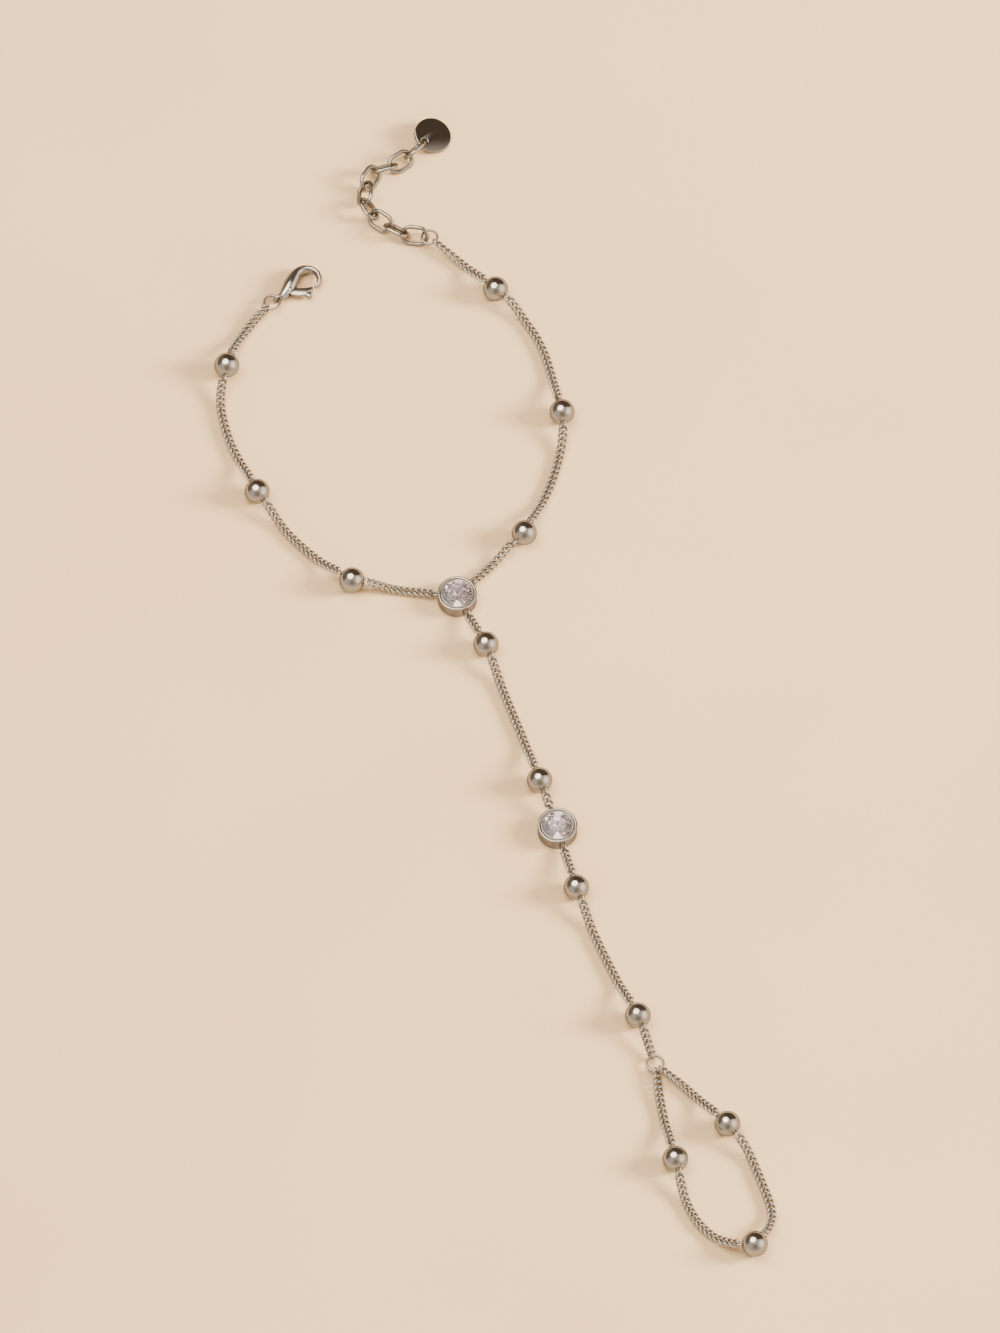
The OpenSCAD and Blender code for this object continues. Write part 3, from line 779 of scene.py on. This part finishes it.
def buildTag(sizes, material):
    points, centres, areas = solidParts("tag")[0]
    middle, axes = axesOf(centres, areas)
    local = (points - middle) @ axes
    disc = middle + axes @ ((local.max(0) + local.min(0)) / 2)
    thin = axes[:, 2] * np.sign(axes[2, 2])
    towardsHole = middleOf("extender_link_9") - disc
    towardsHole -= thin * (towardsHole @ thin)
    towardsHole /= np.linalg.norm(towardsHole)
    outlines = [circle(sizes["diameter"] / 2, sizes["steps"]),
                circle(sizes["hole"] / 2, sizes["steps"] // 2, at=(sizes["holeReach"], 0), way=-1)]
    plate, faces = flatPlate(outlines, sizes["thickness"], sizes["edge"])
    axes = np.column_stack([towardsHole, np.cross(thin, towardsHole), thin])
    place = Matrix.Translation(disc.tolist()) @ Matrix(axes.tolist()).to_4x4()
    addPiece("round_tag", moved(plate, place), faces, np.zeros(len(plate)), material, "tag_metal",
             ["tag"], sharp=sizes["sharp"])


buildTag(tag, polishedMetal("tag_metal", tag["finish"]))
print("tag")


# Clasp: a claw with a slot, its lever and rivet
clasp = {
    "length": 7.8, "width": 5.2, "thickness": 2.2, "angle": 35, "sides": 40, "steps": 8, "sharp": 40,
    "nose": (12, 84, 7),  # turns that the claw's ends are rounded at: from, to and how many
    # place along and across, half width and half thickness, as shares of length, width and thickness
    "claw": [(0.028, 0.000, 0.123, 0.32), (0.160, 0.067, 0.183, 0.44), (0.301, 0.183, 0.215, 0.50),
             (0.449, 0.317, 0.196, 0.49), (0.590, 0.408, 0.158, 0.45), (0.731, 0.400, 0.131, 0.41),
             (0.853, 0.279, 0.108, 0.38), (0.913, 0.087, 0.092, 0.36), (0.885, -0.125, 0.084, 0.33),
             (0.800, -0.270, 0.072, 0.28), (0.712, -0.315, 0.054, 0.21)],
    "lever": [(0.224, 0.010, 0.100), (0.291, -0.097, 0.121), (0.364, -0.188, 0.127),
              (0.451, -0.257, 0.117), (0.540, -0.292, 0.085), (0.613, -0.308, 0.054)],
    "leverThickness": 0.7, "leverGap": 0.12, "leverEdge": 0.1, "leverSteps": 6, "leverCapSteps": 10,
    "leverHole": 0.35, "holeSteps": 24, "slotLength": 0.35,
    "tab": (0.481, -0.442), "tabRadius": 0.086,  # thumb tab, as shares of length and width
    "tabOver": 0.25, "tabEdge": 0.14, "tabNeck": 0.12, "tabFillet": (0.03, 0.09),
    "tabAround": 36, "tabSteps": 14, "tabEdgeSteps": 5,
    "eyeAt": -0.55, "eyeDiameter": 2.0, "eyeWire": 0.5, "eyeSteps": 56, "eyeAround": 18,
    # rivet head, from its rim to its top: share of the radius, and how far below the top
    "rivet": 0.36, "rivetShank": 0.28, "rivetTop": 0.435, "rivetAround": 32,
    "rivetHead": [(0.8, 0.2), (1.0, 0.12), (0.85, 0.05), (0.5, 0.012)],
    "finish": dict(metalFinish, colour=(0.52, 0.475, 0.42), roughness=0.12, smearSize=1.6),
}
onAxis = 0.001  # where a turned profile closes at its axis


def extended(rows):
    # one more row at each end, straight on
    return np.vstack([2 * rows[0] - rows[1], rows, 2 * rows[-1] - rows[-2]])


def smoothRows(rows, steps):
    # a smooth curve through the rows of a table
    rows = np.asarray(rows, float)
    ends = extended(rows)
    made = []
    for i in range(len(rows) - 1):
        a, b, c, d = ends[i:i + 4]
        for t in np.linspace(0, 1, steps, endpoint=False):
            made.append((2 * b + (c - a) * t + (2 * a - 5 * b + 4 * c - d) * t ** 2
                         + (3 * b - a - 3 * c + d) * t ** 3) / 2)
    return np.vstack(made + [rows[-1]])


def headings(rows):
    ends = extended(rows)
    ahead = ends[2:, :2] - ends[:-2, :2]
    return ahead / np.linalg.norm(ahead, axis=1)[:, None]


def clawEnd(row, way, side, turns):
    # sections that close the claw's end in a round nose
    made = []
    for turn in np.radians(np.linspace(*turns)):
        push = side * row[2] * math.sin(turn)
        made.append((row[0] + way[0] * push, row[1] + way[1] * push, row[2] * math.cos(turn),
                     row[3] * math.cos(turn), *way))
    return made


def clawSkin(sizes):
    scale = np.array([sizes["length"], sizes["width"], sizes["width"], sizes["thickness"]])
    rows = smoothRows(np.array(sizes["claw"]) * scale, sizes["steps"])
    ahead = headings(rows)
    sections = clawEnd(rows[0], ahead[0], -1, sizes["nose"])[::-1]
    sections += [(*row, *way) for row, way in zip(rows, ahead)]
    sections += clawEnd(rows[-1], ahead[-1], 1, sizes["nose"])
    count, last = sizes["sides"], len(sections) - 1
    turn = np.linspace(0, 2 * np.pi, count, endpoint=False)
    points = np.vstack([np.column_stack([x - wayY * wide * np.cos(turn), y + wayX * wide * np.cos(turn),
                                         thick * np.sin(turn)])
                        for x, y, wide, thick, wayX, wayY in sections])
    faces = [((i + 1) * count + j, (i + 1) * count + (j + 1) % count, i * count + (j + 1) % count,
              i * count + j) for i in range(last) for j in range(count)]
    faces += [tuple(range(count)), tuple(range(last * count, (last + 1) * count))[::-1]]
    return points, faces


def leverCap(row, way, start, steps):
    # the half circle round the lever's end
    base = math.atan2(way[1], way[0]) + start
    turns = [base + math.pi * k / steps for k in range(1, steps)]
    return np.array([(row[0] + row[2] * math.cos(t), row[1] + row[2] * math.sin(t)) for t in turns])


def tabPlace(sizes):
    # the thumb tab's middle and radius
    return (sizes["tab"][0] * sizes["length"], sizes["tab"][1] * sizes["width"],
            sizes["tabRadius"] * sizes["width"])


def leverOutline(sizes):
    scale = np.array([sizes["length"], sizes["width"], sizes["width"]])
    rows = smoothRows(np.array(sizes["lever"]) * scale, sizes["leverSteps"])
    ahead = headings(rows)
    across = np.column_stack([-ahead[:, 1], ahead[:, 0]]) * rows[:, 2:3]
    right, left = rows[:, :2] - across, rows[:, :2] + across
    # the thumb tab stands out of the right side on a neck with a small fillet
    tabX, tabY, tabRadius = tabPlace(sizes)
    filletX, filletY = sizes["tabFillet"]
    before = right[right[:, 0] < tabX - tabRadius - sizes["tabNeck"]]
    after = right[right[:, 0] > tabX + tabRadius + sizes["tabNeck"]]
    tab = [(tabX - tabRadius - filletX, before[-1][1] - filletY)]
    tab += arc((tabX, tabY), tabRadius, 180, 360, sizes["tabSteps"])
    tab += [(tabX + tabRadius + filletX, after[0][1] - filletY)]
    tip = leverCap(rows[-1], ahead[-1], -math.pi / 2, sizes["leverCapSteps"])
    root = leverCap(rows[0], ahead[0], math.pi / 2, sizes["leverCapSteps"])
    return np.vstack([before, tab, after, tip, left[::-1], root])


def boxMesh(low, high):
    corners = [(x, y, z) for x in (low[0], high[0]) for y in (low[1], high[1]) for z in (low[2], high[2])]
    return corners, [(0, 1, 3, 2), (4, 6, 7, 5), (0, 4, 5, 1), (2, 3, 7, 6), (0, 2, 6, 4), (1, 5, 7, 3)]


def slotted(claw, cutter):
    # the claw's points and faces, with the cutter taken out
    solids = []
    for name, (points, faces) in (("claw", claw), ("cutter", cutter)):
        mesh = bpy.data.meshes.new(name)
        mesh.from_pydata([tuple(p) for p in points], [], faces)
        solids.append(linked(name, mesh))
    slot = solids[0].modifiers.new("slot", "BOOLEAN")
    slot.operation = "DIFFERENCE"
    slot.object = solids[1]
    bpy.context.view_layer.update()
    graph = bpy.context.evaluated_depsgraph_get()
    mesh = bpy.data.meshes.new_from_object(solids[0].evaluated_get(graph))
    for solid in solids:
        bpy.data.objects.remove(solid)
    return pointsAndFaces(mesh)


def buildClaw(sizes, pivotX, pivotY, place, material):
    slotHalf = sizes["leverThickness"] / 2 + sizes["leverGap"]
    slotRadius = sizes["lever"][0][2] * sizes["width"] + sizes["leverGap"]
    low = (pivotX - slotRadius, pivotY + slotRadius - sizes["width"], -slotHalf)
    high = (low[0] + sizes["slotLength"] * sizes["length"], low[1] + sizes["width"], slotHalf)
    skin, skinFaces = clawSkin(sizes)
    claw = slotted((skin * mm, skinFaces), boxMesh(np.array(low) * mm, np.array(high) * mm))
    # eye at the base, upright
    radius = (sizes["eyeDiameter"] - sizes["eyeWire"]) / 2
    path = np.array(ringPath(radius, sizes["eyeSteps"])) * mm
    ring, ringFaces, ringHollow = tube(path, sizes["eyeWire"] / 2 * mm, sizes["eyeAround"])
    ring = ring[:, [0, 2, 1]] * (1, -1, 1) + (sizes["eyeAt"] * mm, 0, 0)
    # rivet with its two heads
    top = sizes["rivetTop"] * sizes["thickness"]
    head = [(share * sizes["rivet"], top - below) for share, below in sizes["rivetHead"]]
    rows = mirroredDown(head + [(onAxis, top)])
    rows.insert(len(rows) // 2, (sizes["rivetShank"], 0))
    rivet, rivetFaces = lathe(rows, sizes["rivetAround"], closed=False)
    rivet = rivet * mm + (pivotX * mm, pivotY * mm, 0)
    points, faces, hollow = joined(claw, (ring, ringFaces, ringHollow), (rivet, rivetFaces))
    addPiece("clasp_claw_body", moved(points, place), faces, hollow, material, "clasp_metal",
             ["clasp_body"], sharp=sizes["sharp"])


def buildLever(sizes, pivotX, pivotY, place, material):
    hole = circle(sizes["leverHole"], sizes["holeSteps"], at=(pivotX, pivotY), way=-1)
    plate = flatPlate([leverOutline(sizes), hole], sizes["leverThickness"], sizes["leverEdge"])
    # the thumb tab's thick round end
    tabX, tabY, reach = tabPlace(sizes)
    edge = sizes["tabEdge"]
    half = sizes["leverThickness"] / 2 + sizes["tabOver"]
    rounding = arc((reach - edge, half - edge), edge, 0, 90, sizes["tabEdgeSteps"])
    rows = mirroredDown(rounding + [(onAxis, half)])
    button, buttonFaces = lathe(rows, sizes["tabAround"], closed=False)
    button = button * mm + (tabX * mm, tabY * mm, 0)
    points, faces, hollow = joined(plate, (button, buttonFaces))
    addPiece("clasp_lever_gate", moved(points, place), faces, hollow, material, "clasp_metal",
             ["clasp_lever"], body="clasp_lever", sharp=sizes["sharp"])


def buildClasp(sizes, material):
    pivot = Vector(next(joint for joint in frame["joints"] if joint["child"] == "clasp_lever")["pos_m"])
    pivotX, pivotY = sizes["lever"][0][0] * sizes["length"], sizes["lever"][0][1] * sizes["width"]
    spin = Matrix.Rotation(math.radians(sizes["angle"]), 4, "Z")
    place = Matrix.Translation(pivot) @ spin @ Matrix.Translation((-pivotX * mm, -pivotY * mm, 0))
    buildClaw(sizes, pivotX, pivotY, place, material)
    buildLever(sizes, pivotX, pivotY, place, material)


buildClasp(clasp, polishedMetal("clasp_metal", clasp["finish"]))
print("clasp")


# Table, lamps, and the tones of the room that the metal mirrors; the table's tone in the metal is a
# painted reflection
studio = {
    # the table's size is in metres; mirrored is a painted reflection tone, deeper than the table, that
    # polished metal shows in its place
    "floor": {"size": 6.0, "colour": (0.97, 0.675, 0.365), "tint": (0.90, 0.575, 0.29), "tintSize": 60,
              "mirrored": (0.50, 0.385, 0.265), "grain": 0.5, "depth": 30, "roughness": 0.75},
    "room": {"colour": (0.84, 0.765, 0.67), "strength": 1.0},
    # soft round patches of tone on the room: where, how far round that they reach, their soft edge
    "patches": [
        {"towards": (0.0, 0.93, 0.36), "reach": 58, "edge": 12, "colour": (0.145, 0.108, 0.078)},
        {"towards": (-0.85, 0.45, 0.30), "reach": 36, "edge": 24, "colour": (0.27, 0.215, 0.155)},
        {"towards": (0.03, -0.83, 0.56), "reach": 20, "edge": 26, "colour": (0.44, 0.355, 0.265)},
        {"towards": (0.89, -0.17, 0.42), "reach": 25, "edge": 22, "colour": (2.4, 2.08, 1.72)},
    ],
    # distance and size in metres, power in watts
    "lamps": {
        "overhead": {"towards": (-0.24, 0.12, 0.96), "distance": 1.0, "size": 0.94, "power": 12.8,
                     "colour": (1, 0.94, 0.84), "mirrored": True},
        "window": {"towards": (0.91, 0.03, 0.40), "distance": 1.2, "size": 0.42, "power": 44,
                   "colour": (1, 0.95, 0.89), "mirrored": False},
    },
}


def buildFloor(look):
    half = look["size"] / 2
    mesh = bpy.data.meshes.new("floor")
    corners = [(-half, -half, 0), (half, -half, 0), (half, half, 0), (-half, half, 0)]
    mesh.from_pydata(corners, [], [(0, 1, 2, 3)])
    finish = Finish("floor")
    grain = finish.noise(look["grain"], detail=5)
    cloud = finish.noise(look["tintSize"], detail=2)
    # painted reflection: glossy rays see the table in the deeper mirrored tone
    mirrored = finish.node("ShaderNodeLightPath", out="Is Glossy Ray")
    table = finish.mix(cloud, look["colour"], look["tint"])
    finish.feed(Base_Color=finish.mix(mirrored, table, look["mirrored"]),
                Normal=finish.bump(grain, look["depth"]))
    finish.feed(Roughness=look["roughness"])
    mesh.materials.append(finish.material)
    floor = linked("floor", mesh)


def buildRoom(look, patches):
    world = bpy.data.worlds.new("studio")
    world.use_nodes = True
    room = Finish("room", world.node_tree)
    direction = room.node("ShaderNodeTexCoord", out="Generated")
    colour = room.node("ShaderNodeRGB")
    colour.socket.default_value = (*look["colour"], 1)
    for patch in patches:
        towards = Vector(patch["towards"]).normalized()
        outer = math.radians(patch["reach"] + patch["edge"] / 2)
        inner = math.radians(max(patch["reach"] - patch["edge"] / 2, 0))
        nearness = room.node("ShaderNodeVectorMath", {"operation": "DOT_PRODUCT"},
                             {0: direction, 1: towards}, out="Value")
        share = room.node("ShaderNodeMapRange", {"interpolation_type": "SMOOTHSTEP"},
                          {"Value": nearness, "From Min": math.cos(outer), "From Max": math.cos(inner)})
        colour = room.mix(share, colour, patch["colour"])
    background = world.node_tree.nodes["Background"]
    room.join(background.inputs["Color"], colour)
    background.inputs["Strength"].default_value = look["strength"]
    bpy.context.scene.world = world


def buildLamps(lamps):
    for name, lamp in lamps.items():
        data = bpy.data.lights.new(name, "AREA")
        data.shape = "DISK"
        data.size = lamp["size"]
        data.energy = lamp["power"]
        data.color = lamp["colour"]
        light = linked(name, data)
        light.visible_glossy = lamp["mirrored"]
        towards = Vector(lamp["towards"]).normalized()
        light.matrix_world = facing(towards * lamp["distance"], towards)


buildFloor(studio["floor"])
buildRoom(studio["room"], studio["patches"])
buildLamps(studio["lamps"])
print("studio")
